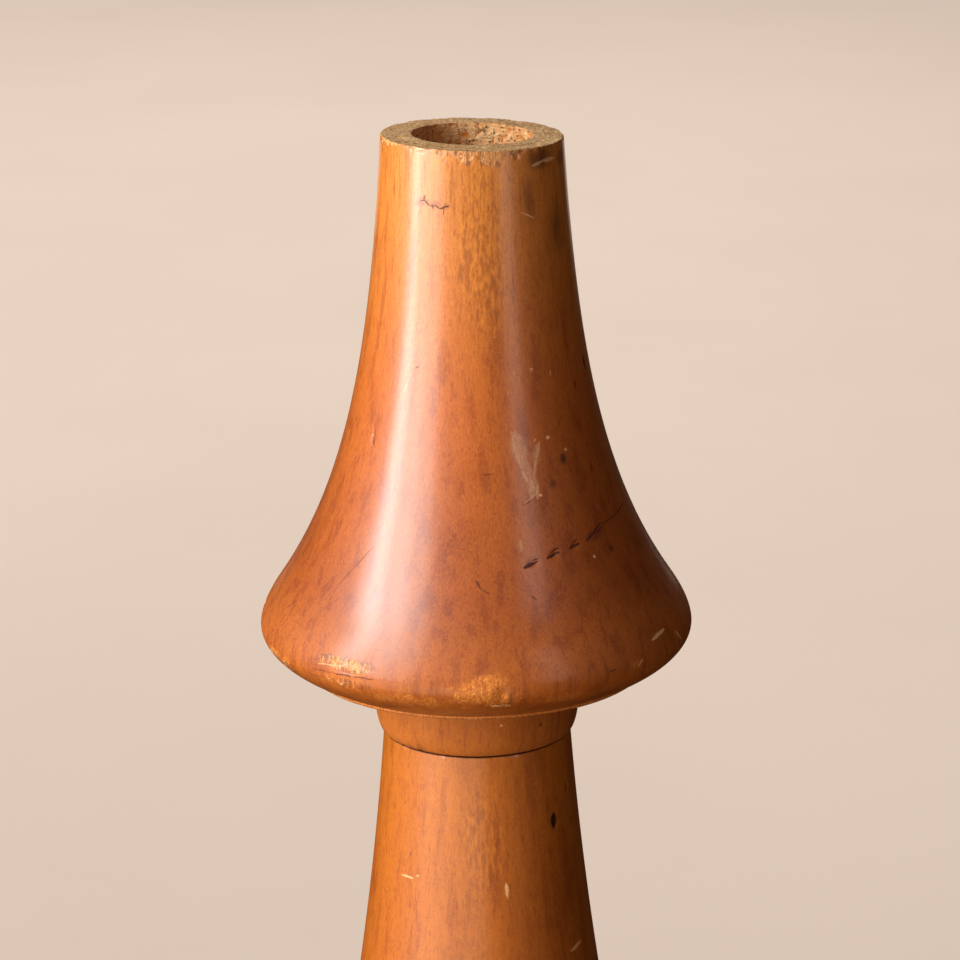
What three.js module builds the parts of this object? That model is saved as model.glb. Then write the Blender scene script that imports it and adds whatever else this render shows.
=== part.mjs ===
// A turned wooden roof finial: a flared bell on a slender flared body.
// Millimetres, +Z up, origin at the middle of the underside, +X to the right as seen from the front.
import * as THREE from 'three';

// Both turnings
const roundSegments = 80;
const jointGap = 0.3; // between the two end faces that meet at the dark joint line

// Lower body
const bodyHeight = 224; // underside to the joint
const jointRadius = 30.6;
const bodyTaper = 0.0756; // widening for each mm, just below the joint
const bodyFlare = 0.00042; // growth of that widening, per mm
const footEdgeHeight = 13; // where the wall starts to round into the underside
const footEdgeInset = 9; // how far the rounding reaches in on the underside

// Collar, at the foot of the bell
const collarRadius = 33.6;
const collarRoundHeight = 13.9; // from the joint up to the collar's widest line
const collarHeight = 22.2; // from the joint up to the bell's underside

// Rim of the bell, heights above the bell's underside
const rimRadius = 70;
const rimWidestHeight = 14.6;
const rimUnderHandle = 7; // length of the curve's upright start below the widest line
const filletRadius = 55.7;
const filletHeight = 0.9;
const rimShoulder = { radius: 64.1, height: 28.1 }; // where the rim's rounding meets the flare

// Bell
const bellHeight = 174; // underside of the rim to the sawn top
const topRadius = 28.7;
const bellTaper = 0.0181; // even taper of the neck, radius for each mm
const flareLength = 52.9; // the flare's width falls by a factor of e over this height
const topSlope = -0.022; // the top was sawn a little out of square: rise for each mm along X
const socketRadius = 19;
const socketDepth = 60;

// Curve steps along the profiles
const bodySteps = 12;
const footSteps = 4;
const flareSteps = 16;
const rimSteps = 5;
const collarSteps = 5;

const collarBase = bodyHeight + jointGap;
const bellBase = collarBase + collarHeight;
const bellTop = bellBase + bellHeight;

const bodyWood = new THREE.MeshStandardMaterial({ color: 0xb4642c, roughness: 0.38, metalness: 0 });
const bellWood = new THREE.MeshStandardMaterial({ color: 0xa9572a, roughness: 0.36, metalness: 0 });

function curvePoints(start, control, end, steps) {
  return new THREE.QuadraticBezierCurve(start, control, end).getPoints(steps);
}

function turning(name, profile, material) {
  const geometry = new THREE.LatheGeometry(profile, roundSegments);
  geometry.rotateX(Math.PI / 2);
  const mesh = new THREE.Mesh(geometry, material);
  mesh.name = name;
  return mesh;
}

// Radius of the lower body's wall at a depth below the joint
function bodyRadius(depth) {
  return jointRadius + bodyTaper * depth + bodyFlare * depth ** 2;
}

function bodyProfile() {
  const wallLength = bodyHeight - footEdgeHeight;
  const wallFootRadius = bodyRadius(wallLength);
  const wallFootTaper = bodyTaper + 2 * bodyFlare * wallLength;
  const cornerRadius = wallFootRadius + wallFootTaper * footEdgeHeight;
  const footEdge = curvePoints(
    new THREE.Vector2(cornerRadius - footEdgeInset, 0),
    new THREE.Vector2(cornerRadius, 0),
    new THREE.Vector2(wallFootRadius, footEdgeHeight),
    footSteps,
  );
  const wall = [];
  for (let step = 1; step <= bodySteps; step++) {
    const depth = wallLength * (1 - step / bodySteps);
    wall.push(new THREE.Vector2(bodyRadius(depth), bodyHeight - depth));
  }
  return [new THREE.Vector2(0, 0), ...footEdge, ...wall, new THREE.Vector2(0, bodyHeight)];
}

// The flare: an even taper from the top plus a width that grows exponentially downwards
const shoulderDrop = bellHeight - rimShoulder.height;
const flareAtTop = Math.exp(-shoulderDrop / flareLength);
const flareWidth =
  (rimShoulder.radius - topRadius - bellTaper * shoulderDrop) / (1 - flareAtTop);

function bellRadius(height) {
  const flare = Math.exp(-(height - rimShoulder.height) / flareLength) - flareAtTop;
  return topRadius + bellTaper * (bellHeight - height) + flareWidth * flare;
}

// The collar is a quarter of an ellipse, upright at its widest line
function collarPoints() {
  const points = [];
  for (let step = 0; step <= collarSteps; step++) {
    const angle = (step / collarSteps) * (Math.PI / 2);
    const radius = jointRadius + (collarRadius - jointRadius) * Math.sin(angle);
    points.push(new THREE.Vector2(radius, collarBase + collarRoundHeight * (1 - Math.cos(angle))));
  }
  return points;
}

function rimPoints() {
  const shoulderSlope = bellTaper + flareWidth / flareLength;
  const shoulderCorner = rimShoulder.height - (rimRadius - rimShoulder.radius) / shoulderSlope;
  const underside = curvePoints(
    new THREE.Vector2(filletRadius, bellBase + filletHeight),
    new THREE.Vector2(rimRadius, bellBase + rimWidestHeight - rimUnderHandle),
    new THREE.Vector2(rimRadius, bellBase + rimWidestHeight),
    rimSteps,
  );
  const shoulder = curvePoints(
    new THREE.Vector2(rimRadius, bellBase + rimWidestHeight),
    new THREE.Vector2(rimRadius, bellBase + shoulderCorner),
    new THREE.Vector2(rimShoulder.radius, bellBase + rimShoulder.height),
    rimSteps,
  );
  return [...underside, ...shoulder.slice(1)];
}

function flarePoints() {
  const points = [];
  for (let step = 1; step <= flareSteps; step++) {
    const height = rimShoulder.height + shoulderDrop * (step / flareSteps);
    points.push(new THREE.Vector2(bellRadius(height), bellBase + height));
  }
  return points;
}

function bellProfile() {
  return [
    new THREE.Vector2(0, collarBase),
    ...collarPoints(),
    new THREE.Vector2(collarRadius, bellBase),
    new THREE.Vector2(filletRadius, bellBase),
    ...rimPoints(),
    ...flarePoints(),
    new THREE.Vector2(socketRadius, bellTop),
    new THREE.Vector2(socketRadius, bellTop - socketDepth),
    new THREE.Vector2(0, bellTop - socketDepth),
  ];
}

// Leans the sawn top face, with both of its edges, to the slope of the cut
function slopeTopFace(mesh) {
  const position = mesh.geometry.attributes.position;
  const justBelowTop = bellTop - 0.01;
  for (let index = 0; index < position.count; index++) {
    if (position.getZ(index) > justBelowTop) {
      position.setZ(index, bellTop + topSlope * position.getX(index));
    }
  }
  mesh.geometry.computeVertexNormals();
}

const lowerBody = turning('lower_body', bodyProfile(), bodyWood);
const bell = turning('bell', bellProfile(), bellWood);
slopeTopFace(bell);

const finial = new THREE.Group();
finial.add(lowerBody, bell);

export default finial;
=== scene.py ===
import math

import bpy
import numpy as np
from mathutils import Matrix, Vector, noise


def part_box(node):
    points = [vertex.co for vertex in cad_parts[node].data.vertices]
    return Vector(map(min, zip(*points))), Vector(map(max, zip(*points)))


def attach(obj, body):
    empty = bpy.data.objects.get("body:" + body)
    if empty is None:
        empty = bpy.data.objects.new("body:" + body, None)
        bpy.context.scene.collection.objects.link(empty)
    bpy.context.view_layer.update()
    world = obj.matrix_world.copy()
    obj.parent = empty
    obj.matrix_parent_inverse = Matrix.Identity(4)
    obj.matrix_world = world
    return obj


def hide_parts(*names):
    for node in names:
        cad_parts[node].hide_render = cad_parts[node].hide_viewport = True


# A turned and varnished wooden roof finial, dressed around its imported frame.
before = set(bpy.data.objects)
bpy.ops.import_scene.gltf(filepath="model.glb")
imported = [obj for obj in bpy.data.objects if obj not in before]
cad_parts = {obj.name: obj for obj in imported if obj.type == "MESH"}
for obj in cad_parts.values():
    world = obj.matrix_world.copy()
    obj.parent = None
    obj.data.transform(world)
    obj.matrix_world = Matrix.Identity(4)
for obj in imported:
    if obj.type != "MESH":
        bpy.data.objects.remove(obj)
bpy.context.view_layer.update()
mm = 0.001

# heights that both turnings share, from the frame
sawnSlope = -0.022                                # rise of the sawn top for each metre along X
topRadius = 28.7 * mm
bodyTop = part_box("lower_body")[1].z
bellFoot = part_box("bell")[0].z
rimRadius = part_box("bell")[1].x
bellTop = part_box("bell")[1].z + sawnSlope * topRadius
bellBase = bellTop - 174 * mm                     # underside of the rim
print("frame loaded: joint at", round(bodyTop, 4), "sawn top at", round(bellTop, 4))


# A profile is a list of (radius, height, finish), from the foot up to the top.
varnished, endGrain, boredWall = 0, 1, 2


def bendTo(points, control, end, steps, finish=varnished):
    start = points[-1]
    for step in range(1, steps + 1):
        t = step / steps
        radius = (1 - t) ** 2 * start[0] + 2 * t * (1 - t) * control[0] + t * t * end[0]
        height = (1 - t) ** 2 * start[1] + 2 * t * (1 - t) * control[1] + t * t * end[1]
        points.append((radius, height, finish))


def runTo(points, end, spacing, finish=varnished):
    start = points[-1]
    length = math.dist(start[:2], end)
    steps = max(1, round(length / spacing))
    for step in range(1, steps + 1):
        t = step / steps
        points.append((start[0] + (end[0] - start[0]) * t, start[1] + (end[1] - start[1]) * t, finish))


bodyShape = {
    "jointRadius": 30.6 * mm,
    "taper": 0.0756,                              # widening just below the joint
    "flare": 0.42,                                # growth of that widening, for each metre
    "footEdgeHeight": 13 * mm,
    "footEdgeInset": 9 * mm,
    "jointEdge": 0.18 * mm,                       # small worn bevel at the joint
    "rowSpacing": 1.1 * mm,
    "segments": 320,
}


def bodyRadius(depth):
    return bodyShape["jointRadius"] + bodyShape["taper"] * depth + bodyShape["flare"] * depth ** 2


def bodyProfile():
    s = bodyShape
    wallLength = bodyTop - s["footEdgeHeight"]
    corner = bodyRadius(wallLength)
    corner += (s["taper"] + 2 * s["flare"] * wallLength) * s["footEdgeHeight"]
    points = [(0, 0, endGrain)]
    runTo(points, (corner - s["footEdgeInset"], 0), 4 * mm, endGrain)
    bendTo(points, (corner, 0), (bodyRadius(wallLength), s["footEdgeHeight"]), 16)
    rows = round((wallLength - s["jointEdge"]) / s["rowSpacing"])
    for row in range(1, rows + 1):
        depth = wallLength + (s["jointEdge"] - wallLength) * row / rows
        points.append((bodyRadius(depth), bodyTop - depth, varnished))
    runTo(points, (s["jointRadius"] - s["jointEdge"], bodyTop), 0.2 * mm)
    runTo(points, (s["jointRadius"] - 3 * mm, bodyTop), 1 * mm, endGrain)
    runTo(points, (0, bodyTop), 5 * mm, endGrain)
    return points


bellShape = {
    "jointRadius": 30.6 * mm,
    "collarRadius": 33.6 * mm,
    "collarRound": 13.9 * mm,                     # joint up to the collar's widest line
    "filletRadius": 55.7 * mm,
    "filletHeight": 0.9 * mm,
    "rimWidest": 14.6 * mm,                       # heights above the underside of the rim
    "rimUnderHandle": 7 * mm,
    "shoulderRadius": 64.1 * mm,
    "shoulderHeight": 28.1 * mm,
    "taper": 0.0181,
    "flareLength": 52.9 * mm,
    "socketRadius": 19 * mm,
    "socketDepth": 60 * mm,
    "edgeWear": 0.5 * mm,                         # rounding of the top's outer edge
    "segments": 336,
}


def flareRadius(height):
    s = bellShape
    drop = bellTop - bellBase - s["shoulderHeight"]
    atTop = math.exp(-drop / s["flareLength"])
    width = (s["shoulderRadius"] - topRadius - s["taper"] * drop) / (1 - atTop)
    flare = math.exp(-(height - bellBase - s["shoulderHeight"]) / s["flareLength"]) - atTop
    return topRadius + s["taper"] * (bellTop - height) + width * flare


def flareSlope(height):
    return (flareRadius(height - mm) - flareRadius(height + mm)) / (2 * mm)


def bellProfile():
    s = bellShape
    edge = bodyShape["jointEdge"]
    points = [(0, bellFoot, endGrain)]
    runTo(points, (s["jointRadius"] - 3 * mm, bellFoot), 5 * mm, endGrain)
    runTo(points, (s["jointRadius"] - edge, bellFoot), 1 * mm, endGrain)
    runTo(points, (s["jointRadius"], bellFoot + edge), 0.2 * mm)
    collarSteps = 20
    for step in range(1, collarSteps + 1):
        angle = step / collarSteps * math.pi / 2
        radius = s["jointRadius"] + (s["collarRadius"] - s["jointRadius"]) * math.sin(angle)
        height = bellFoot + s["collarRound"] * (1 - math.cos(angle))
        if height > points[-1][1]:
            points.append((radius, height, varnished))
    runTo(points, (s["collarRadius"], bellBase), 1.5 * mm)
    runTo(points, (s["filletRadius"], bellBase), 2 * mm)
    runTo(points, (s["filletRadius"], bellBase + s["filletHeight"]), 0.45 * mm)
    widest = bellBase + s["rimWidest"]
    bendTo(points, (rimRadius, widest - s["rimUnderHandle"]), (rimRadius, widest), 20)
    shoulder = bellBase + s["shoulderHeight"]
    corner = shoulder - (rimRadius - s["shoulderRadius"]) / flareSlope(shoulder)
    bendTo(points, (rimRadius, corner), (s["shoulderRadius"], shoulder), 15)
    height = shoulder
    while height < bellTop - s["edgeWear"]:
        # rows lie closest near the chipped top edge
        spacing = 0.42 * mm + 0.75 * mm * min(1, max(0, bellTop - height - 6 * mm) / (12 * mm))
        height = min(height + spacing, bellTop - s["edgeWear"])
        points.append((flareRadius(height), height, varnished))
    outer = flareRadius(bellTop)
    bendTo(points, (outer, bellTop), (outer - s["edgeWear"], bellTop), 3, endGrain)
    runTo(points, (s["socketRadius"] + 0.3 * mm, bellTop), 0.5 * mm, endGrain)
    bendTo(points, (s["socketRadius"], bellTop), (s["socketRadius"], bellTop - 0.3 * mm), 2, boredWall)
    runTo(points, (s["socketRadius"], bellTop - 16 * mm), 0.7 * mm, boredWall)
    runTo(points, (s["socketRadius"], bellTop - s["socketDepth"]), 2.5 * mm, boredWall)
    runTo(points, (0, bellTop - s["socketDepth"]), 3 * mm, boredWall)
    return points


# Geometry Nodes spin a profile, as a lathe does.
def makeNode(tree, kind, inputs=None, **settings):
    made = tree.nodes.new(kind)
    for name, value in settings.items():
        setattr(made, name, value)
    for name, value in (inputs or {}).items():
        if isinstance(value, bpy.types.NodeSocket):
            tree.links.new(value, made.inputs[name])
        else:
            made.inputs[name].default_value = value
    return made


def maths(tree, operation, a, b=0.0, c=0.0, clamp=False):
    made = makeNode(tree, "ShaderNodeMath", {0: a, 1: b}, operation=operation, use_clamp=clamp)
    if operation == "MULTIPLY_ADD":
        if isinstance(c, bpy.types.NodeSocket):
            tree.links.new(c, made.inputs[2])
        else:
            made.inputs[2].default_value = c
    return made.outputs[0]


def times(tree, a, b):
    return maths(tree, "MULTIPLY", a, b)


def plus(tree, a, b):
    return maths(tree, "ADD", a, b)


def latheTree():
    tree = bpy.data.node_groups.new("turned on the lathe", "GeometryNodeTree")
    face = tree.interface
    face.new_socket("Geometry", in_out="INPUT", socket_type="NodeSocketGeometry")
    face.new_socket("Profile", in_out="INPUT", socket_type="NodeSocketObject")
    face.new_socket("Segments", in_out="INPUT", socket_type="NodeSocketInt")
    face.new_socket("Wood", in_out="INPUT", socket_type="NodeSocketMaterial")
    face.new_socket("Geometry", in_out="OUTPUT", socket_type="NodeSocketGeometry")
    given = makeNode(tree, "NodeGroupInput")
    template = makeNode(tree, "GeometryNodeObjectInfo", {"Object": given.outputs["Profile"]})
    rows = makeNode(tree, "GeometryNodeAttributeDomainSize", {"Geometry": template.outputs["Geometry"]})
    columns = plus(tree, given.outputs["Segments"], 1)
    grid = makeNode(tree, "GeometryNodeMeshGrid", {
        "Size X": 1.0, "Size Y": 1.0,
        "Vertices X": columns, "Vertices Y": rows.outputs["Point Count"]})
    place = makeNode(tree, "GeometryNodeInputPosition")
    across = makeNode(tree, "ShaderNodeSeparateXYZ", {0: place.outputs[0]})
    lastRow = maths(tree, "SUBTRACT", rows.outputs["Point Count"], 1)
    row = maths(tree, "ROUND", times(tree, plus(tree, across.outputs[1], 0.5), lastRow))
    cut = makeNode(tree, "GeometryNodeSampleIndex", {
        "Geometry": template.outputs["Geometry"], "Value": place.outputs[0], "Index": row},
        data_type="FLOAT_VECTOR", domain="POINT")
    reach = makeNode(tree, "ShaderNodeSeparateXYZ", {0: cut.outputs[0]})
    turn = times(tree, plus(tree, across.outputs[0], 0.5), math.tau)
    frontwards = times(tree, maths(tree, "COSINE", turn), -1.0)
    spun = makeNode(tree, "ShaderNodeCombineXYZ", {
        0: times(tree, reach.outputs[0], maths(tree, "SINE", turn)),
        1: times(tree, reach.outputs[0], frontwards),
        2: reach.outputs[2]})
    shaped = makeNode(tree, "GeometryNodeSetPosition", {
        "Geometry": grid.outputs["Mesh"], "Position": spun.outputs[0]})
    closed = makeNode(tree, "GeometryNodeMergeByDistance", {
        "Geometry": shaped.outputs[0], "Distance": 0.001 * mm})
    smooth = makeNode(tree, "GeometryNodeSetShadeSmooth", {"Geometry": closed.outputs[0]})
    real = makeNode(tree, "GeometryNodeRealizeInstances", {"Geometry": smooth.outputs[0]})
    dressed = makeNode(tree, "GeometryNodeSetMaterial", {
        "Geometry": real.outputs[0], "Material": given.outputs["Wood"]})
    makeNode(tree, "NodeGroupOutput", {0: dressed.outputs[0]})
    return tree


def profileObject(name, points):
    mesh = bpy.data.meshes.new(name)
    mesh.from_pydata([(radius, 0, height) for radius, height, finish in points], [], [])
    made = bpy.data.objects.new(name, mesh)
    bpy.context.scene.collection.objects.link(made)
    return made


def turnOnLathe(name, points, segments, wood, tree):
    template = profileObject(name + "Template", points)
    blank = bpy.data.objects.new(name + "Blank", bpy.data.meshes.new(name + "Blank"))
    bpy.context.scene.collection.objects.link(blank)
    modifier = blank.modifiers.new("lathe", "NODES")
    modifier.node_group = tree
    sockets = {item.name: item.identifier for item in tree.interface.items_tree if item.in_out == "INPUT"}
    modifier[sockets["Profile"]] = template
    modifier[sockets["Segments"]] = segments
    modifier[sockets["Wood"]] = wood
    evaluated = blank.evaluated_get(bpy.context.evaluated_depsgraph_get())
    mesh = bpy.data.meshes.new_from_object(evaluated)
    mesh.name = name
    mesh.materials.clear()
    mesh.materials.append(wood)
    mesh.polygons.foreach_set("material_index", np.zeros(len(mesh.polygons), np.int32))
    blank.modifiers.remove(modifier)
    for helper in (blank, template):
        bpy.data.objects.remove(helper)
    made = bpy.data.objects.new(name, mesh)
    bpy.context.scene.collection.objects.link(made)
    print(name, "turned:", len(mesh.vertices), "vertices,", len(mesh.polygons), "faces")
    return made


# Places on a turned surface: turn in degrees from the front towards +X, height in mm above the foot.
def wallRadius(profile, height):
    wall = sorted({round(z, 6): r for r, z, finish in profile if finish == varnished}.items())
    return float(np.interp(height, [z for z, r in wall], [r for z, r in wall]))


def onSurface(profile, turn, height):
    angle = math.radians(turn)
    radius = wallRadius(profile, height * mm)
    return Vector((radius * math.sin(angle), -radius * math.cos(angle), height * mm))


def softStep(values, low, high):
    t = np.clip((values - low) / (high - low), 0, 1)
    return t * t * (3 - 2 * t)


def speckle(points, scale, seed=0.0):
    shift = Vector((seed, seed * 1.7, -seed))
    return np.array([noise.noise(Vector(p) * scale + shift) for p in points])


def turnApart(turn, centre):
    return (turn - centre + 180) % 360 - 180


# A worn surface: each vertex's place and normal, its radius, turn in degrees and height in mm.
def readSurface(mesh):
    place = np.empty(len(mesh.vertices) * 3)
    normal = np.empty(len(mesh.vertices) * 3)
    mesh.vertices.foreach_get("co", place)
    mesh.vertices.foreach_get("normal", normal)
    place, normal = place.reshape(-1, 3), normal.reshape(-1, 3)
    radius = np.hypot(place[:, 0], place[:, 1])
    turn = np.degrees(np.arctan2(place[:, 0], -place[:, 1]))
    return place, normal, (radius, turn, place[:, 2] / mm)


def writeSurface(mesh, place, layers):
    mesh.vertices.foreach_set("co", place.ravel())
    for name, values in layers.items():
        layer = mesh.attributes.new(name, "FLOAT", "POINT")
        layer.data.foreach_set("value", values.astype(np.float32))
    mesh.update()


def mottling(place, zone):
    mottled = np.zeros(len(place))
    mottled[zone] = speckle(place[zone], 260, 5) + 0.7 * speckle(place[zone], 800, 9)
    return mottled


def spotted(at, spots, zone, fade, reach=1.0, ragged=0.0):
    # the strongest of some oval spots at each vertex, each one fading inwards from its edge
    radius, turn, height = at
    along = radius / mm * np.radians(1)            # mm for each degree of turn
    strongest = np.zeros(len(zone))
    for centre, level, halfWidth, halfHeight, strength in spots:
        u = turnApart(turn, centre) * along / halfWidth
        v = (height - level) / halfHeight
        cover = softStep(reach - np.hypot(u, v) + ragged, 0, fade)
        strongest = np.maximum(strongest, cover * strength * zone)
    return strongest


jointBand = 1.6 * mm                              # how far in from the wall the joint's edge is bitten


# Wear that is deep enough to be shape: how far each vertex sinks, and how bare and how rubbed it is.
bellWear = {
    # turn, half width in degrees, drop below the sawn edge in mm, how bare
    "edgeFlakes": [
        (12, 12.5, 5.2, 0.8), (-4, 6.5, 4.6, 0.72), (-14, 9, 2.6, 0.7), (-36, 15, 1.1, 0.8),
        (-68, 17, 1.8, 0.9), (27, 8, 3.0, 0.5), (44, 10, 1.6, 0.3), (63, 10, 1.8, 0.2),
        (98, 8, 2.6, 0.8), (121, 4, 4.1, 1.0), (148, 13, 1.4, 0.9), (176, 6, 3.4, 0.9),
        (204, 9, 1.8, 0.8), (231, 5, 4.6, 1.0), (254, 10, 1.5, 0.9),
    ],
    "flakeDepth": 0.24 * mm,
    # turn, height, half width along the turn in mm, half height in mm, depth in mm
    "dents": [
        (6.2, 259.4, 2.3, 3.6, 0.75), (19.6, 295.6, 2.2, 0.9, 0.45), (28.2, 297.2, 2.4, 0.9, 0.45),
        (37.2, 298.4, 2.1, 0.9, 0.4), (-35.6, 262.9, 9.0, 0.9, 0.12), (73, 350, 1.0, 2.5, 0.3),
        (-51.5, 329.1, 0.8, 3.0, 0.35), (131, 300, 3.0, 1.2, 0.5), (168, 262, 4.0, 2.4, 0.6),
        (214, 336, 1.2, 4.0, 0.4), (242, 287, 2.6, 1.6, 0.4), (112, 381, 1.2, 2.2, 0.3),
    ],
    # turn, height, half width along the turn in mm, half height in mm, how rubbed
    "rubbed": [
        (1, 259.6, 13, 6.4, 0.85), (2, 263.2, 8.5, 4.6, 0.75), (-36, 264.6, 11.5, 2.6, 0.95),
        (-38, 259.5, 13, 3.2, 0.5), (-66, 258.6, 15, 2.8, 0.7), (-18, 256.5, 18, 3.0, 0.55),
        (24, 256, 14, 2.6, 0.45), (66, 262, 5, 6.5, 0.35), (46, 262, 3.5, 1.6, 0.5),
        (150, 264, 14, 4.0, 0.8), (205, 261, 9, 3.2, 0.7), (262, 259, 18, 2.6, 0.6),
        (96, 258, 12, 2.2, 0.5),
    ],
    # turn, height, half width along the turn in mm, half height in mm, how bare in small chips
    "chipped": [
        (-36, 265.2, 13, 2.4, 0.42), (-70, 256.5, 20, 3.8, 0.32), (-92, 259, 12, 4.8, 0.34),
        (5.5, 255.2, 3.2, 0.9, 0.5), (-36, 259.2, 12, 1.8, 0.26), (205, 258, 18, 3.4, 0.24),
        (140, 257, 14, 3, 0.22), (86, 257, 12, 2.6, 0.16),
    ],
    # turn, height, half width along the turn in mm, half height in mm, how dark
    "stainsAndShade": [
        # the first five, on the neck's right side near the top, are dark stain deepened with painted shade
        # on the side away from the light
        (47, 416.5, 12, 7.5, 0.75), (72, 415, 9, 6, 0.65), (24, 418, 4, 6.0, 0.45), (36, 404, 5, 14, 0.6),
        (58, 394, 8, 18, 0.6), (-9, 413, 2.2, 9, 0.35), (-55, 407, 2.0, 7, 0.4),
        (40.8, 323.8, 2.6, 3.4, 0.9), (33.4, 317.2, 3.0, 2.8, 0.8), (53.5, 294.3, 2.6, 2.5, 0.85),
        (57, 318.3, 1.6, 2.2, 0.9), (73, 349, 1.8, 4.4, 0.8), (52, 300.6, 4.6, 3.4, 0.5),
        (8.6, 258.2, 2.2, 4.6, 0.75), (118, 409, 16, 8, 0.6), (186, 415, 12, 6, 0.5),
        (237, 404, 9, 9, 0.6), (140, 352, 6, 16, 0.4), (205, 300, 14, 10, 0.4), (258, 272, 16, 7, 0.4),
        (160, 251, 20, 4, 0.4),
    ],
}


def wearBell(bell):
    place, normal, at = readSurface(bell.data)
    radius, turn, height = at
    drop = bellTop / mm - height
    sink, bare = np.zeros(len(place)), np.zeros(len(place))
    outside = (radius > bellShape["socketRadius"] + 4 * mm) & (height > bellBase / mm - 0.1)

    # ragged flakes of varnish and wood off the sawn edge
    nearTop = outside & (drop < 12)
    ragged = np.zeros(len(place))
    ragged[nearTop] = speckle(place[nearTop], 620, 3) + 0.8 * speckle(place[nearTop], 1700, 8)
    for centre, halfWidth, reach, bareness in bellWear["edgeFlakes"]:
        across = np.abs(turnApart(turn, centre)) / halfWidth
        limit = reach * np.clip(1 - across ** 2, 0, 1) ** 0.7 + 1.5 * ragged
        inside = softStep(limit - drop, -0.7, 1.9) * (across < 1.1) * nearTop
        sink = np.maximum(sink, inside * bellWear["flakeDepth"] * (1 + 0.5 * ragged))
        bare = np.maximum(bare, inside * bareness)
    # the whole sawn edge is a little nibbled
    nibble = softStep(0.7 + 0.9 * ragged - drop, -0.2, 0.7) * nearTop * (radius > topRadius - 1.5 * mm)
    sink = np.maximum(sink, nibble * 0.1 * mm)
    bare = np.maximum(bare, nibble * 0.85)

    sink = np.maximum(sink, mm * spotted(at, bellWear["dents"], outside, 0.8))

    patch = outside & (height < 275)
    mottled = mottling(place, patch)
    rubbed = spotted(at, bellWear["rubbed"], patch, 0.55, ragged=0.55 * mottled)
    # the rim's lower curve and its fillet are rubbed all the way round, the fillet's edge most
    lowRim = softStep(bellBase / mm + 7.5 - height + 1.6 * mottled, 0, 5) * patch
    rubbed = np.maximum(rubbed, 0.5 * lowRim)
    fillet = (np.abs(height - bellBase / mm - 0.45) < 0.6) & (radius > bellShape["filletRadius"] - 1.2 * mm)
    rubbed[fillet] = 1.0
    bare = np.maximum(bare, spotted(at, bellWear["chipped"], patch, 0.5, reach=1.1))
    stainAndShade = spotted(at, bellWear["stainsAndShade"], outside, 0.9)

    # bitten arris at the joint
    joint = (np.abs(place[:, 2] - bellFoot) < 1.0 * mm) & (radius > bellShape["jointRadius"] - jointBand)
    sink[joint] += 0.3 * mm * softStep(speckle(place[joint], 700, 2), 0.25, 0.5)

    # the bored wall is rough and pitted, and the sawn face is furred
    bored = (radius < bellShape["socketRadius"] + 0.1 * mm) & (drop > 0.2) & (drop < 58)
    pits = speckle(place[bored] * (1, 1, 0.6), 650, 4)
    sink[bored] += 0.35 * mm * softStep(pits, 0.12, 0.45)
    sink[bored] += 0.12 * mm * np.abs(speckle(place[bored], 250, 6))
    sawn = (drop < 0.01) & (radius > bellShape["socketRadius"])
    sink[sawn] += 0.03 * mm * np.abs(speckle(place[sawn], 900, 7))

    place -= normal * sink[:, None]
    # the saw cut leans: the last stretch of wall follows it
    leaning = np.clip(1 - drop / 8, 0, 1)
    place[:, 2] += sawnSlope * place[:, 0] * leaning
    writeSurface(bell.data, place, {"bare": bare, "rubbed": rubbed, "stainAndShade": stainAndShade})
    print("bell worn:", int((sink > 0).sum()), "vertices sunk")


# the same measures as for the bell
bodyWear = {
    "dents": [
        (49, 198.6, 1.6, 3.2, 0.5), (64.4, 207.3, 1.2, 2.2, 0.3), (-46, 96, 2.5, 4.5, 0.4),
        (122, 141, 1.6, 3.0, 0.4), (196, 76, 3.5, 2.0, 0.5), (251, 167, 1.4, 3.6, 0.4),
        (18, 38, 3.2, 1.6, 0.5),
    ],
    "rubbed": [
        (-30, 7, 26, 5, 0.8), (40, 6, 22, 4, 0.8), (120, 8, 30, 5, 0.7), (200, 6, 24, 5, 0.8),
        (275, 7, 26, 4, 0.7),
    ],
    "stainsAndShade": [
        (49, 198.6, 2.4, 4.4, 0.9), (64, 207, 2.0, 3.0, 0.5), (-4, 196, 3.4, 12, 0.25),
        (28, 178, 6, 10, 0.3), (122, 141, 3, 6, 0.7), (170, 180, 10, 16, 0.35), (215, 90, 16, 12, 0.4),
        (262, 190, 9, 8, 0.35), (30, 30, 24, 10, 0.3), (90, 120, 9, 20, 0.3), (-60, 110, 8, 14, 0.3),
    ],
}


def wearBody(body):
    place, normal, at = readSurface(body.data)
    radius, turn, height = at
    wall = (radius > bodyShape["jointRadius"] - 1.1 * mm) & (height > 0.5)
    sink = mm * spotted(at, bodyWear["dents"], wall, 0.8)
    patch = wall & (height < 24)
    rubbed = spotted(at, bodyWear["rubbed"], patch, 0.55, ragged=0.55 * mottling(place, patch))
    stainAndShade = spotted(at, bodyWear["stainsAndShade"], wall, 0.9)
    joint = (np.abs(place[:, 2] - bodyTop) < 1.0 * mm) & (radius > bodyShape["jointRadius"] - jointBand)
    sink[joint] += 0.15 * mm * softStep(speckle(place[joint], 700, 12), 0.22, 0.5)
    place -= normal * sink[:, None]
    writeSurface(body.data, place, {"bare": np.zeros(len(place)), "rubbed": rubbed, "stainAndShade": stainAndShade})
    print("body worn:", int((sink > 0).sum()), "vertices sunk")


# Small builders for the node trees of the finishes.
def hexColour(code):
    channels = [int(code[i:i + 2], 16) / 255 for i in (0, 2, 4)]
    return tuple(c / 12.92 if c <= 0.04045 else ((c + 0.055) / 1.055) ** 2.4 for c in channels) + (1,)


def vectors(tree, operation, a, b=(0, 0, 0)):
    made = makeNode(tree, "ShaderNodeVectorMath", {0: a, 1: b}, operation=operation)
    single = operation in ("LENGTH", "DOT_PRODUCT")
    return made.outputs["Value"] if single else made.outputs[0]


def scaled(tree, vector, factor):
    made = makeNode(tree, "ShaderNodeVectorMath", {0: vector, "Scale": factor}, operation="SCALE")
    return made.outputs[0]


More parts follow.
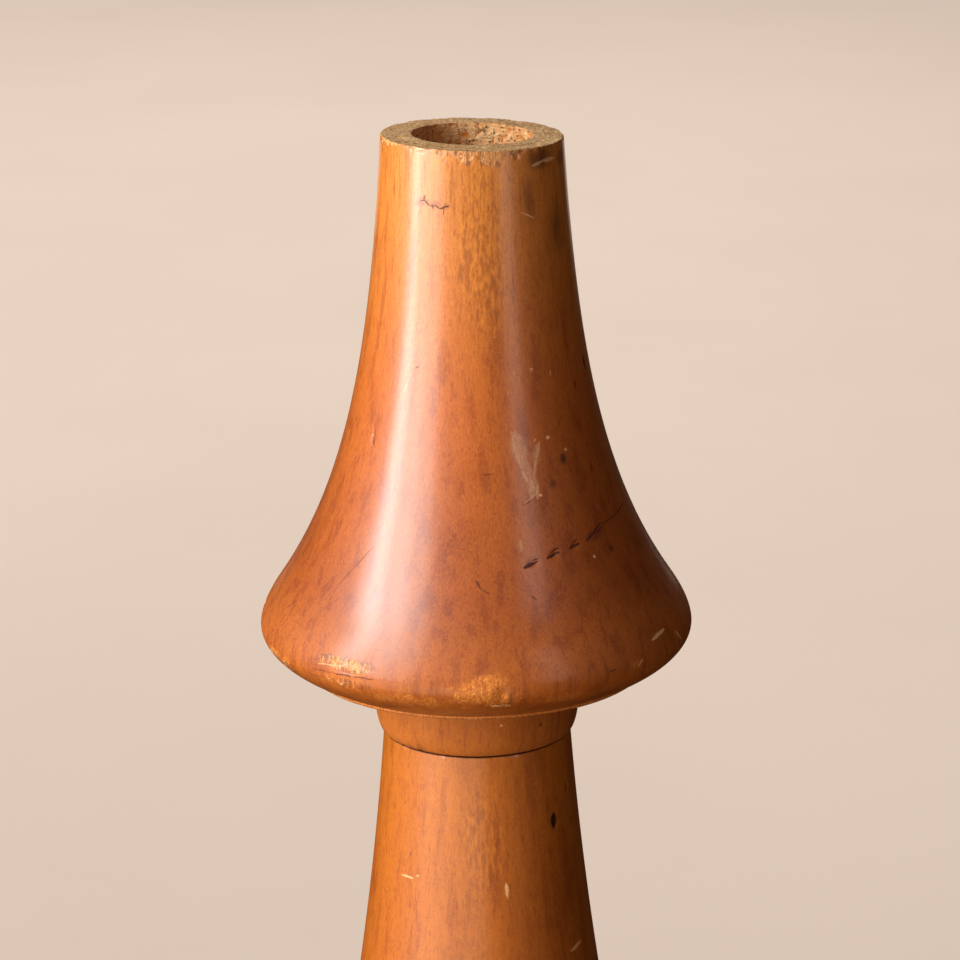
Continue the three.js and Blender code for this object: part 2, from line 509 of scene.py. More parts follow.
def window(tree, value, low, high):
    made = makeNode(tree, "ShaderNodeMapRange", {
        "Value": value, "From Min": low, "From Max": high}, interpolation_type="SMOOTHSTEP", clamp=False)
    return made.outputs[0]


def blend(tree, factor, a, b, mode="MIX"):
    made = makeNode(tree, "ShaderNodeMix", {0: factor, 6: a, 7: b}, data_type="RGBA", blend_type=mode)
    return made.outputs[2]


def painted(tree, under, mask, strength, code):
    # one plain colour laid over another where the mask says
    return blend(tree, times(tree, mask, strength), under, hexColour(code))


def bands(tree, value, stops):
    made = makeNode(tree, "ShaderNodeValToRGB", {0: value})
    ramp = made.color_ramp
    while len(ramp.elements) < len(stops):
        ramp.elements.new(1.0)
    for element, (position, code) in zip(ramp.elements, stops):
        element.position = position
        element.color = hexColour(code)
    return made.outputs[0]


def cloud(tree, place, size, tall=1.0, seed=0.0, detail=3.0, roughness=0.55):
    # noise with features of that size in metres, and that many times as tall as wide
    stretched = vectors(tree, "MULTIPLY", place, (1 / size, 1 / size, 1 / (size * tall)))
    moved = vectors(tree, "ADD", stretched, (seed, seed * 1.7, -seed))
    made = makeNode(tree, "ShaderNodeTexNoise", {
        "Vector": moved, "Scale": 1.0, "Detail": detail, "Roughness": roughness})
    return made.outputs[0]


def newFinish(name):
    finish = bpy.data.materials.new(name)
    finish.use_nodes = True
    tree = finish.node_tree
    tree.nodes.clear()
    surface = makeNode(tree, "ShaderNodeBsdfPrincipled")
    makeNode(tree, "ShaderNodeOutputMaterial", {"Surface": surface.outputs[0]})
    place = makeNode(tree, "ShaderNodeTexCoord").outputs["Object"]
    return finish, tree, surface, place


def bumped(tree, height, distance):
    made = makeNode(tree, "ShaderNodeBump", {"Height": height, "Distance": distance, "Strength": 1.0})
    return made.outputs[0]


# One scratch or crack: how near a point lies to the line between two others, thinning at both ends.
def strokeGroup():
    tree = bpy.data.node_groups.new("stroke", "ShaderNodeTree")
    face = tree.interface
    for name in ("Place", "From", "To"):
        face.new_socket(name, in_out="INPUT", socket_type="NodeSocketVector")
    for name in ("Width", "Strength", "So Far"):
        face.new_socket(name, in_out="INPUT", socket_type="NodeSocketFloat")
    face.new_socket("Mask", in_out="OUTPUT", socket_type="NodeSocketFloat")
    given = makeNode(tree, "NodeGroupInput").outputs
    reach = vectors(tree, "SUBTRACT", given["To"], given["From"])
    apart = vectors(tree, "SUBTRACT", given["Place"], given["From"])
    whole = vectors(tree, "DOT_PRODUCT", reach, reach)
    # plain maximum and minimum, because a clamp option here overfills the renderer's stack
    t = maths(tree, "DIVIDE", vectors(tree, "DOT_PRODUCT", apart, reach), whole)
    t = maths(tree, "MAXIMUM", t, 0.0)
    t = maths(tree, "MINIMUM", t, 1.0)
    nearest = vectors(tree, "SUBTRACT", apart, scaled(tree, reach, t))
    far = vectors(tree, "LENGTH", nearest)
    centred = maths(tree, "MULTIPLY_ADD", t, 2.0, -1.0)
    thinning = maths(tree, "POWER", maths(tree, "ABSOLUTE", centred), 2.5)
    thinning = maths(tree, "MULTIPLY_ADD", thinning, -0.65, 1.0)
    width = times(tree, given["Width"], thinning)
    mask = window(tree, far, width, times(tree, width, 0.35))
    strong = times(tree, mask, given["Strength"])
    makeNode(tree, "NodeGroupOutput", {0: maths(tree, "MAXIMUM", strong, given["So Far"])})
    return tree


def strokes(tree, group, place, profile, marks, soFar=0.0):
    # marks: turn, height, turn, height in degrees and mm, width in mm, strength
    for turnA, heightA, turnB, heightB, width, strength in marks:
        made = makeNode(tree, "ShaderNodeGroup", node_tree=group)
        # a straight line cuts under a round surface, so both ends stand off by half of that
        lift = (1 - math.cos(math.radians(turnB - turnA) / 2)) / 2
        for name, turn, height in (("From", turnA, heightA), ("To", turnB, heightB)):
            end = onSurface(profile, turn, height)
            made.inputs[name].default_value = end + Vector((end.x, end.y, 0)) * lift
        made.inputs["Width"].default_value = width * mm / 2
        made.inputs["Strength"].default_value = strength
        tree.links.new(place, made.inputs["Place"])
        if soFar:
            tree.links.new(soFar, made.inputs["So Far"])
        soFar = made.outputs[0]
    return soFar


def varnishedWood(name, look, marks, profile, group):
    finish, tree, surface, place = newFinish(name)
    parts = makeNode(tree, "ShaderNodeSeparateXYZ", {0: place}).outputs
    seed = look["seed"]
    fibres = cloud(tree, place, 0.55 * mm, 18, seed, 4, 0.62)
    streaks = cloud(tree, place, 4.2 * mm, 16, seed + 3, 4, 0.6)
    broad = cloud(tree, place, 16 * mm, 4.5, seed + 7, 2, 0.5)
    mottle = cloud(tree, place, 2.8 * mm, 1.6, seed + 11, 4, 0.6)
    patches = cloud(tree, place, 24 * mm, 1.0, seed + 17, 3, 0.55)
    flecks = cloud(tree, place, 1.1 * mm, 3.6, seed + 23, 3, 0.6)
    grit = cloud(tree, place, 0.6 * mm, 1.4, seed + 29, 3, 0.75)

    # tone by height, its borders drifting with the grain
    drift = maths(tree, "MULTIPLY_ADD", broad, look["drift"] * mm, parts[2])
    low, high = look["heights"]
    level = maths(tree, "DIVIDE", maths(tree, "SUBTRACT", drift, low * mm + look["drift"] * mm / 2),
                  (high - low) * mm, clamp=True)
    base = bands(tree, level, look["tones"])
    deep = blend(tree, 1.0, base, hexColour(look["deepTint"]), "MULTIPLY")
    glow = blend(tree, 1.0, base, hexColour(look["glowTint"]), "ADD")
    colour = base
    for field, low, high, amount, tone in (
            (streaks, 0.5, 0.36, "streaks", deep), (streaks, 0.52, 0.68, "glow", glow),
            (patches, 0.46, 0.3, "patches", deep), (mottle, 0.48, 0.3, "mottle", deep),
            (fibres, 0.52, 0.3, "fibres", deep), (grit, 0.5, 0.3, "grit", deep),
            (grit, 0.5, 0.7, "sparkle", glow)):
        colour = blend(tree, times(tree, window(tree, field, low, high), look[amount]), colour, tone)

    # strongly figured grain, over part of the height and strongest around one place
    fleckZone = window(tree, parts[2], look["flecksFrom"] * mm, look["flecksTo"] * mm)
    apart = vectors(tree, "SUBTRACT", place, onSurface(profile, *look["figureAt"]))
    apart = vectors(tree, "MULTIPLY", apart, [1 / (size * mm) for size in look["figureSize"]])
    figure = window(tree, vectors(tree, "LENGTH", apart), 1.0, 0.3)
    fleckField = maths(tree, "MULTIPLY_ADD", figure, 0.12, flecks)
    fleckMask = times(tree, window(tree, fleckField, 0.60, 0.72), fleckZone)
    goldField = maths(tree, "MULTIPLY_ADD", figure, -0.10, flecks)
    goldMask = times(tree, window(tree, goldField, 0.38, 0.26), fleckZone)
    colour = painted(tree, colour, goldMask, look["gold"], look["goldColour"])
    colour = painted(tree, colour, fleckMask, look["flecks"], look["fleckColour"])

    # wear and stains, and some painted shade, set on the mesh and broken up by the grain
    rubbed, bare, stainAndShade = (
        makeNode(tree, "ShaderNodeAttribute", attribute_name=name).outputs["Fac"]
        for name in ("rubbed", "bare", "stainAndShade"))
    uneven = plus(tree, times(tree, mottle, 0.7), times(tree, grit, 0.9))
    uneven = maths(tree, "SUBTRACT", uneven, 0.8)
    rubbedMask = window(tree, plus(tree, rubbed, uneven), 0.1, 1.15)
    fineGrain = plus(tree, times(tree, fibres, 0.5), times(tree, grit, 0.5))
    rubbedTone = bands(tree, fineGrain, look["rubbedTones"])
    colour = blend(tree, times(tree, rubbedMask, look["rubbed"]), colour, rubbedTone)
    # dark stains, and on the bell's neck some painted shade on the side away from the light
    stainAndShadeMask = window(tree, maths(tree, "MULTIPLY_ADD", uneven, 0.8, stainAndShade), 0.2, 0.95)
    colour = painted(tree, colour, stainAndShadeMask, look["stainAndShade"], look["stainAndShadeColour"])
    ragged = times(tree, uneven, window(tree, bare, 0.02, 0.2))
    bareField = maths(tree, "MULTIPLY_ADD", ragged, 2.2, bare)
    bareMask = window(tree, bareField, 0.28, 0.74)
    fringe = times(tree, window(tree, bareField, 0.08, 0.28), window(tree, flecks, 0.42, 0.56))
    colour = painted(tree, colour, fringe, 0.6, look["stainAndShadeColour"])
    bareTone = bands(tree, fineGrain, look["bareTones"])
    bareTone = painted(tree, bareTone, window(tree, flecks, 0.54, 0.66), 0.7, look["bareFlecks"])
    colour = blend(tree, bareMask, colour, bareTone)

    # dirt in the joint lines, and painted shade on the collar just under the rim
    grimeAndShade = 0.0
    for height, reachUp, reachDown, strength in look["grimeAndShadeLines"]:
        above = window(tree, parts[2], (height + reachUp) * mm, height * mm)
        below = window(tree, parts[2], (height - reachDown) * mm, height * mm)
        line = times(tree, times(tree, above, below), strength)
        patchy = times(tree, line, window(tree, mottle, 0.2, 0.5))
        grimeAndShade = maths(tree, "MAXIMUM", patchy, grimeAndShade)
    colour = blend(tree, grimeAndShade, colour, hexColour(look["grimeAndShadeColour"]))

    # cracks and scratches wander a little
    nudge = makeNode(tree, "ShaderNodeTexNoise", {
        "Vector": place, "Scale": 520.0, "Detail": 3.0, "Roughness": 0.7}).outputs[1]
    wander = scaled(tree, vectors(tree, "SUBTRACT", nudge, (0.5, 0.5, 0.5)), 0.9 * mm)
    shaken = vectors(tree, "ADD", place, wander)
    smears, haze, cuts = (
        strokes(tree, group, shaken, profile, marks[kind]) for kind in ("smears", "haze", "cuts"))
    dark = strokes(tree, group, shaken, profile, marks["dark"], cuts)
    pale = strokes(tree, group, shaken, profile, marks["pale"])
    smeared = times(tree, smears, window(tree, mottle, 0.3, 0.55))
    hazy = times(tree, haze, window(tree, grit, 0.25, 0.6))
    paleBroken = times(tree, pale, window(tree, grit, 0.2, 0.5))
    for mask, code in ((smeared, "smearColour"), (hazy, "hazeColour"), (dark, "darkColour"),
                       (paleBroken, "paleColour")):
        colour = blend(tree, mask, colour, hexColour(look[code]))
    tree.links.new(colour, surface.inputs["Base Color"])

    dull = window(tree, parts[2], look["dullBelow"] * mm + 1 * mm, look["dullBelow"] * mm - 1 * mm)
    fading = window(tree, parts[2], look["fadesBelow"] * mm, (look["fadesBelow"] - 22) * mm)
    gloss = maths(tree, "MULTIPLY_ADD", patches, look["roughnessDrift"], look["roughness"])
    for field, amount in ((fibres, 0.08), (mottle, 0.12), (grit, 0.12), (rubbedMask, 0.12),
                          (dull, 0.16), (fading, 0.10), (paleBroken, 0.2), (dark, 0.3)):
        gloss = maths(tree, "MULTIPLY_ADD", field, amount, gloss)
    gloss = maths(tree, "MAXIMUM", gloss, times(tree, bareMask, 0.8))
    tree.links.new(gloss, surface.inputs["Roughness"])
    coat = times(tree, look["coat"], maths(tree, "SUBTRACT", 1.0, bareMask))
    for field, loss in ((rubbedMask, -0.5), (dull, -0.8), (dark, -0.9), (fading, -0.5)):
        coat = times(tree, coat, maths(tree, "MULTIPLY_ADD", field, loss, 1.0))
    tree.links.new(coat, surface.inputs["Coat Weight"])
    tree.links.new(maths(tree, "MULTIPLY_ADD", dark, -0.35, 0.5), surface.inputs["Specular IOR Level"])
    surface.inputs["Coat Roughness"].default_value = look["coatRoughness"]
    surface.inputs["IOR"].default_value = 1.5

    relief = maths(tree, "MULTIPLY_ADD", fibres, 0.30, times(tree, mottle, 0.32))
    relief = maths(tree, "MULTIPLY_ADD", streaks, 0.4, maths(tree, "MULTIPLY_ADD", broad, 1.8, relief))
    relief = maths(tree, "MULTIPLY_ADD", grit, maths(tree, "MULTIPLY_ADD", bareMask, 0.5, 0.26), relief)
    relief = maths(tree, "MULTIPLY_ADD", cuts, -1.4, relief)
    tree.links.new(bumped(tree, relief, look["relief"] * mm), surface.inputs["Normal"])
    return finish


def sawnEndGrain(name, look):
    finish, tree, surface, place = newFinish(name)
    grain = cloud(tree, place, 1.0 * mm, 1.0, 2, 4, 0.8)
    fine = cloud(tree, place, 0.6 * mm, 1.0, 9, 3, 0.7)
    cells = makeNode(tree, "ShaderNodeTexVoronoi", {
        "Vector": place, "Scale": 1 / (0.5 * mm)}).outputs["Color"]
    cellTone = makeNode(tree, "ShaderNodeSeparateColor", {0: cells}).outputs[0]
    patches = cloud(tree, place, 9 * mm, 1.0, 5, 3, 0.55)
    # growth rings around a pith that lies off the turning's axis
    wavy = vectors(tree, "ADD", place, scaled(tree, makeNode(tree, "ShaderNodeTexNoise", {
        "Vector": place, "Scale": 60.0, "Detail": 2.0}).outputs[1], 3 * mm))
    apart = vectors(tree, "MULTIPLY", vectors(tree, "SUBTRACT", wavy, look["pith"]), (1, 1, 0))
    across = times(tree, vectors(tree, "LENGTH", apart), math.tau / look["ringWidth"])
    rings = maths(tree, "SINE", across)
    tone = maths(tree, "MULTIPLY_ADD", patches, 0.25, times(tree, grain, 0.4))
    tone = maths(tree, "MULTIPLY_ADD", cellTone, 0.3, tone)
    tone = maths(tree, "MULTIPLY_ADD", rings, 0.02, tone)
    colour = bands(tree, tone, look["tones"])
    pores = window(tree, fine, 0.48, 0.36)
    colour = painted(tree, colour, pores, look["pores"], look["poreColour"])
    parts = makeNode(tree, "ShaderNodeSeparateXYZ", {0: place}).outputs
    squares = plus(tree, times(tree, parts[0], parts[0]), times(tree, parts[1], parts[1]))
    radius = maths(tree, "SQRT", squares)
    ragged = maths(tree, "MULTIPLY_ADD", maths(tree, "SUBTRACT", grain, 0.5), 2.4 * mm, radius)
    rim = window(tree, ragged, look["edgeFrom"], look["edgeTo"])
    colour = painted(tree, colour, rim, look["edge"], look["edgeColour"])
    tree.links.new(colour, surface.inputs["Base Color"])
    tree.links.new(maths(tree, "MULTIPLY_ADD", grain, 0.3, 0.62), surface.inputs["Roughness"])
    relief = maths(tree, "MULTIPLY_ADD", cellTone, 0.3, maths(tree, "MULTIPLY_ADD", fine, 0.6, grain))
    tree.links.new(bumped(tree, relief, look["relief"] * mm), surface.inputs["Normal"])
    surface.inputs["Specular IOR Level"].default_value = 0.3
    return finish


def boredWood(name, look):
    finish, tree, surface, place = newFinish(name)
    parts = makeNode(tree, "ShaderNodeSeparateXYZ", {0: place}).outputs
    tool = cloud(tree, place, 2.2 * mm, 0.35, 4, 4, 0.6)
    pits = cloud(tree, place, 1.3 * mm, 0.9, 13, 3, 0.6)
    patches = cloud(tree, place, 7 * mm, 1.0, 21, 3, 0.6)
    tone = maths(tree, "MULTIPLY_ADD", patches, 0.55, times(tree, tool, 0.5))
    colour = bands(tree, tone, look["tones"])
    pitMask = window(tree, pits, 0.56, 0.68)
    colour = painted(tree, colour, pitMask, 0.75, look["pitColour"])
    # painted shade: the bored wall darkens further down the socket
    deep = window(tree, parts[2], bellTop - 8 * mm, bellTop - 50 * mm)
    colour = painted(tree, colour, deep, 0.75, look["boreShadeColour"])
    tree.links.new(colour, surface.inputs["Base Color"])
    tree.links.new(maths(tree, "MULTIPLY_ADD", tool, 0.25, 0.65), surface.inputs["Roughness"])
    rough = plus(tree, tool, times(tree, pits, 0.6))
    relief = maths(tree, "MULTIPLY_ADD", pitMask, -0.8, rough)
    tree.links.new(bumped(tree, relief, look["relief"] * mm), surface.inputs["Normal"])
    surface.inputs["Specular IOR Level"].default_value = 0.25
    return finish


bellLook = {
    "seed": 4.0,
    "heights": (bellFoot / mm, bellTop / mm),     # the tones below run over these heights
    # where along the height, and the varnished wood's own colour there
    # golden brown collar, brown rim, orange brown flare, golden neck
    "tones": [(0.0, "b06010"), (0.16, "ac5a10"), (0.3, "9a4a10"), (0.6, "b45c18"), (1.0, "d08030")],
    "drift": 5,
    "deepTint": "a4684a", "glowTint": "44290a",
    "streaks": 0.38, "glow": 0.32, "fibres": 0.44, "mottle": 0.14,
    "patches": 0.20, "grit": 0.30, "sparkle": 0.7,
    "flecks": 0.42, "flecksFrom": 300, "flecksTo": 360, "fleckColour": "7a3c10",
    "gold": 0.45, "goldColour": "d98a2c",
    "figureAt": (4, 388), "figureSize": (13, 13, 38),
    "rubbed": 0.8, "rubbedTones": [(0.38, "a04c10"), (0.5, "cc7622"), (0.62, "f0a44a")],
    "stainAndShade": 0.8, "stainAndShadeColour": "43200c",
    "bareTones": [(0.36, "9a5c2c"), (0.5, "c88a50"), (0.64, "ecb47c")], "bareFlecks": "6a3a16",
    # height, how far it reaches up and down in mm, strength: painted shade on the collar under the rim,
    # then the dirty joint
    "grimeAndShadeLines": [(246.4, 0.8, 4.2, 0.7), (224.25, 0.6, 1.0, 1.0)],
    "grimeAndShadeColour": "3a1806",
    "smearColour": "6a2614", "hazeColour": "c89a78", "darkColour": "341210", "paleColour": "ecba88",
    "roughness": 0.30, "roughnessDrift": 0.14, "coat": 0.75, "coatRoughness": 0.22,
    "dullBelow": 247, "fadesBelow": 284, "relief": 0.12,
}
# turn and height of both ends, width in mm, strength
bellMarks = {
    "cuts": [
        (-33, 404.2, -29.4, 404.8, 0.5, 0.7), (-29.4, 404.8, -26.4, 403.0, 0.6, 0.8),
        (-26.4, 403.0, -22, 403.5, 0.5, 0.7), (-22, 403.5, -19.6, 402.5, 0.6, 0.75),
        (-19.6, 402.5, -13.4, 403.6, 0.7, 0.8), (-30, 404.4, -29.2, 406.6, 0.6, 0.7),
        (-16.6, 404.2, -17, 400.8, 0.5, 0.65), (-24.4, 403.8, -23.6, 402.2, 0.5, 0.6),
        (16.4, 294.3, 21.4, 295.7, 1.9, 0.9), (18.6, 295.6, 21.8, 296.6, 1.0, 0.8),
        (25.1, 296.2, 30.3, 297.3, 1.5, 0.9), (27.2, 297.6, 30.2, 298.6, 1.0, 0.8),
        (34.6, 297.8, 39.6, 298.5, 1.4, 0.85), (36.0, 298.9, 38.8, 299.6, 0.8, 0.75),
        (-47, 261.0, -40, 261.6, 0.45, 0.6), (-40, 261.6, -33, 262.1, 0.5, 0.65),
        (-33, 262.1, -26.6, 262.3, 0.5, 0.65), (-51.6, 331.8, -50.2, 326.8, 0.8, 0.85),
    ],
    "dark": [
        (-12.4, 417, -12.8, 404, 1.5, 0.3), (-11, 412, -10.6, 398, 1.2, 0.2),
        (-50.5, 418, -48, 400, 1.0, 0.3), (-55, 411, -54, 402, 0.9, 0.35),
        (43.2, 298.6, 47, 300.3, 1.2, 0.75), (46.6, 299.8, 52.6, 302.4, 1.1, 0.7),
        (48, 299.6, 53, 301.2, 0.7, 0.5), (29.4, 296.2, 33, 297.0, 0.5, 0.4),
        (52.4, 301.8, 64, 302.4, 0.9, 0.6), (64, 302.4, 75.5, 303.6, 0.9, 0.7),
        (73, 346.5, 73.6, 351.5, 1.6, 0.8), (58, 343.4, 58.4, 345.6, 1.2, 0.6),
        (40.6, 322.6, 41, 325, 1.8, 0.35), (3, 322, 8, 321.8, 0.6, 0.6), (0, 291.6, 1.6, 289, 1.3, 0.6),
        (1.6, 289, 4.6, 287.6, 1.0, 0.5), (-31, 353, -28.6, 353.6, 0.9, 0.6),
        (-48.6, 285, -44.6, 290.6, 0.9, 0.32), (-44.6, 290.6, -38.4, 298.2, 0.8, 0.4),
        (-48.6, 285, -49.6, 280, 0.8, 0.2), (-46.8, 262.6, -31, 262.9, 0.3, 0.4),
        (18.1, 312.3, 22.8, 313.1, 0.6, 0.6), (37, 233.2, 37.6, 234, 1.8, 0.8),
        (17, 286.6, 19, 285, 0.9, 0.5), (36, 262.2, 38, 262.4, 1.4, 0.5), (-4, 259.6, 8, 254.6, 0.4, 0.3),
        (131, 299.6, 138, 300.8, 1.8, 0.85), (166, 351, 167, 338, 0.6, 0.6),
        (204, 300, 213, 306, 0.7, 0.6), (228, 402, 240, 404, 0.9, 0.8), (250, 330, 251, 322, 1.5, 0.6),
        (119, 262, 124, 264, 1.2, 0.6), (290, 271, 296, 277, 0.7, 0.5), (148, 398, 150, 384, 0.6, 0.5),
        (182, 283, 190, 283, 1.1, 0.6),
    ],
    "pale": [
        (38.9, 414.4, 48, 415.4, 1.5, 0.7), (48, 415.4, 60.3, 415.4, 2.0, 0.75),
        (29.1, 400.9, 38.8, 398.4, 0.8, 0.7), (16.6, 334.8, 17.8, 328.7, 0.9, 0.24),
        (17.8, 328.7, 20.1, 322.5, 0.9, 0.22), (20.1, 322.5, 22.1, 318.8, 1.0, 0.26),
        (29.6, 330.2, 27.3, 325.4, 1.8, 0.34), (27.3, 325.4, 24.9, 319.8, 1.6, 0.3),
        (26.2, 317.6, 25.4, 313.6, 1.8, 0.34), (19.4, 312.6, 25, 315.0, 0.7, 0.22),
        (27.6, 330.6, 27.8, 331.4, 1.3, 0.4), (23.5, 319.4, 24.6, 316.4, 0.8, 0.36),
        (34.4, 330.7, 34.6, 331.4, 2.0, 0.9), (43, 325.9, 43.3, 326.5, 1.7, 0.9),
        (26.8, 314.2, 27, 314.8, 1.4, 0.9), (44, 293.4, 44.3, 294.2, 1.6, 0.85),
        (29.4, 352.4, 30.6, 352.4, 1.0, 0.7), (28.8, 352.9, 29.4, 351.6, 0.8, 0.5),
        (40.6, 349.4, 41, 351, 0.9, 0.6), (-52.4, 331.8, -51.0, 326.8, 0.6, 0.8),
        (53.4, 266.9, 60.6, 268.1, 1.9, 0.85), (66, 265.6, 68.8, 261.6, 1.2, 0.7),
        (68.8, 261.6, 71, 257.4, 1.0, 0.6), (46, 261.2, 48, 262.8, 1.4, 0.5),
        (-45, 263.2, -36, 264.6, 0.6, 0.45), (4.2, 255.3, 6.4, 255.0, 1.5, 0.8),
        (7.2, 254.9, 8.8, 255.2, 1.2, 0.7), (13, 235.2, 13.6, 236, 1.4, 0.8),
        (112, 318, 118, 330, 0.7, 0.6), (160, 268, 171, 266.6, 1.4, 0.8), (188, 372, 191, 360, 0.7, 0.55),
        (219, 292, 224, 286, 0.9, 0.6), (236, 344, 238, 332, 1.0, 0.6), (263, 265.6, 271, 267, 1.4, 0.7),
        (100, 410, 108, 408.6, 1.3, 0.7), (175, 327, 181, 324.6, 1.8, 0.4),
    ],
    "smears": [
        (-39, 403.8, -27, 404.6, 4.2, 0.45), (-27, 403.8, -13, 403.4, 3.6, 0.4),
        (43, 298.8, 51.6, 300.6, 5.6, 0.7), (17, 295, 23, 297, 4.2, 0.3), (26, 297, 31, 299, 3.6, 0.3),
        (66, 262, 72, 259, 3.0, 0.4), (-27, 251.6, -19, 252.4, 2.4, 0.3), (138, 300, 144, 297, 4.0, 0.45),
        (210, 304, 216, 300, 4.0, 0.4),
    ],
    "haze": [
        (18.4, 333.6, 20.4, 324.5, 7.4, 0.42), (20.4, 326.0, 23.2, 318.4, 5.6, 0.34),
        (25.0, 319.6, 23.2, 314.6, 5.4, 0.5), (28.6, 329.6, 26.2, 323, 4.0, 0.36),
        (16.4, 302.4, 15.6, 298.6, 1.8, 0.3), (178, 322, 184, 316, 6, 0.35),
        (-38, 265.6, -28, 264.4, 2.6, 0.35),
    ],
}

bodyLook = {
    "seed": 31.0,
    "heights": (0, bodyTop / mm),
    # a little darker towards the foot
    "tones": [(0.0, "98490a"), (0.4, "aa560c"), (1.0, "b4620e")],
    "drift": 30,
    "deepTint": "a66a42", "glowTint": "402608",
    "streaks": 0.34, "glow": 0.32, "fibres": 0.40, "mottle": 0.20,
    "patches": 0.30, "grit": 0.34, "sparkle": 0.7,
    "flecks": 0.45, "flecksFrom": 60, "flecksTo": 120, "fleckColour": "7e3c0c",
    "gold": 0.30, "goldColour": "cf7c1e",
    "figureAt": (2, 196), "figureSize": (12, 12, 30),
    "rubbed": 0.8, "rubbedTones": [(0.35, "a85614"), (0.5, "c07424"), (0.65, "d4923e")],
    "stainAndShade": 0.85, "stainAndShadeColour": "3a1a08",
    "bareTones": [(0.36, "9a5c2c"), (0.5, "c88a50"), (0.64, "ecb47c")], "bareFlecks": "6a3a16",
    # the dirty joint, and a darker band just above the foot
    "grimeAndShadeLines": [(224.05, 1.0, 0.5, 1.0), (1.2, 2.6, 1.6, 0.5)],
    "grimeAndShadeColour": "3a1806",
    "smearColour": "7a3412", "hazeColour": "c08a5c", "darkColour": "2b0f05", "paleColour": "e8b078",
    "roughness": 0.31, "roughnessDrift": 0.14, "coat": 0.55, "coatRoughness": 0.24,
    "dullBelow": -9, "fadesBelow": 20, "relief": 0.12,
}
bodyMarks = {
    "cuts": [(48.4, 196.2, 49.4, 200.8, 4.4, 0.85)],
    "dark": [
        (64, 205.8, 64.6, 208.6, 1.8, 0.5),
        (-41, 188.4, -40.6, 189.6, 0.7, 0.5), (-20, 118, -19.4, 110, 0.5, 0.5), (24, 84, 27, 79, 0.7, 0.6),
        (122, 139, 122.6, 143, 2.0, 0.7), (176, 186, 177, 174, 0.5, 0.5), (246, 96, 252, 98, 0.8, 0.6),
        (-66, 60, -60, 57, 0.8, 0.6), (80, 42, 81, 34, 0.9, 0.5), (205, 40, 213, 42, 0.7, 0.6),
    ],
    "pale": [
        (-46, 181, -38, 181.2, 1.2, 0.85), (-36, 182.4, -34, 182.4, 0.9, 0.6),
        (15, 181.6, 15.2, 177, 1.5, 0.9), (52, 153, 62.6, 154.2, 1.8, 0.85),
        (-27, 211, -26.6, 208.6, 0.4, 0.4), (34, 214.6, 35.6, 214.4, 0.4, 0.5),
        (-12, 132, -10, 131.4, 0.7, 0.6), (30, 66, 40, 63, 1.1, 0.7), (142, 166, 146, 160, 0.6, 0.6),
        (188, 120, 190, 108, 0.5, 0.6), (230, 190, 236, 190.6, 0.8, 0.6), (268, 132, 276, 129, 1.0, 0.6),
    ],
    "smears": [(-30, 98, -26, 90, 3.6, 0.3), (160, 88, 166, 80, 4.0, 0.35)],
    "haze": [
        (15, 181.6, 15.4, 176.4, 2.6, 0.35), (54, 152.4, 60, 154.6, 3.0, 0.35),
        (140, 160, 148, 152, 5, 0.3),
    ],
}
endLook = {
    "pith": (-31 * mm, 22 * mm, 0), "ringWidth": 2.6 * mm,
    "tones": [(0.34, "8e6638"), (0.46, "b78a54"), (0.56, "cfa46e"), (0.72, "eccb98")],
    "pores": 0.6, "poreColour": "6a4420",
    "edgeFrom": 27.6 * mm, "edgeTo": 29.2 * mm, "edge": 0.55, "edgeColour": "74461e",
    "relief": 0.12,
}
boreLook = {
    "tones": [(0.3, "94592d"), (0.46, "bd844e"), (0.58, "d7a26c"), (0.75, "ecc798")],
    "pitColour": "5c2a14", "boreShadeColour": "4a2a12",
    "relief": 0.6,
}


# Both turnings, worn and given their finishes.
jointCore = bodyShape["jointRadius"] - 2.9 * mm   # the joint's faces are bare wood inside this radius


def dressEnds(piece, isEnd, isBored=None, ends=()):
    for finish in ends:
        piece.data.materials.append(finish)
    for face in piece.data.polygons:
        radius = math.hypot(face.center.x, face.center.y)
        if isBored and isBored(radius, face.center.z):
            face.material_index = boredWall
        elif isEnd(radius, face.center.z, face.normal.z):
            face.material_index = endGrain


lathe = latheTree()
stroke = strokeGroup()
endFinish = sawnEndGrain("sawnEndGrain", endLook)
boreFinish = boredWood("boredWood", boreLook)

bellOutline = bellProfile()
bellWood = varnishedWood("bellVarnish", bellLook, bellMarks, bellOutline, stroke)
bell = turnOnLathe("bellTurning", bellOutline, bellShape["segments"], bellWood, lathe)
wearBell(bell)
dressEnds(
    bell,
    lambda radius, height, facing: (facing > 0.6 and height > bellTop - 2 * mm
                                    or height < bellFoot + 0.1 * mm and radius < jointCore),
    lambda radius, height: radius < bellShape["socketRadius"] + 0.25 * mm and height > bellTop - 61 * mm,
    (endFinish, boreFinish))
bell.data.set_sharp_from_angle(angle=math.radians(40))

bodyOutline = bodyProfile()
bodyWood = varnishedWood("bodyVarnish", bodyLook, bodyMarks, bodyOutline, stroke)
body = turnOnLathe("bodyTurning", bodyOutline, bodyShape["segments"], bodyWood, lathe)
wearBody(body)
dressEnds(
    body,
    lambda radius, height, facing: height < 0.1 * mm or height > bodyTop - 0.1 * mm and radius < jointCore,
    ends=(endFinish,))
body.data.set_sharp_from_angle(angle=math.radians(40))
print("finishes made")

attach(bell, "root")
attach(body, "root")
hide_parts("bell")
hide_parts("lower_body")


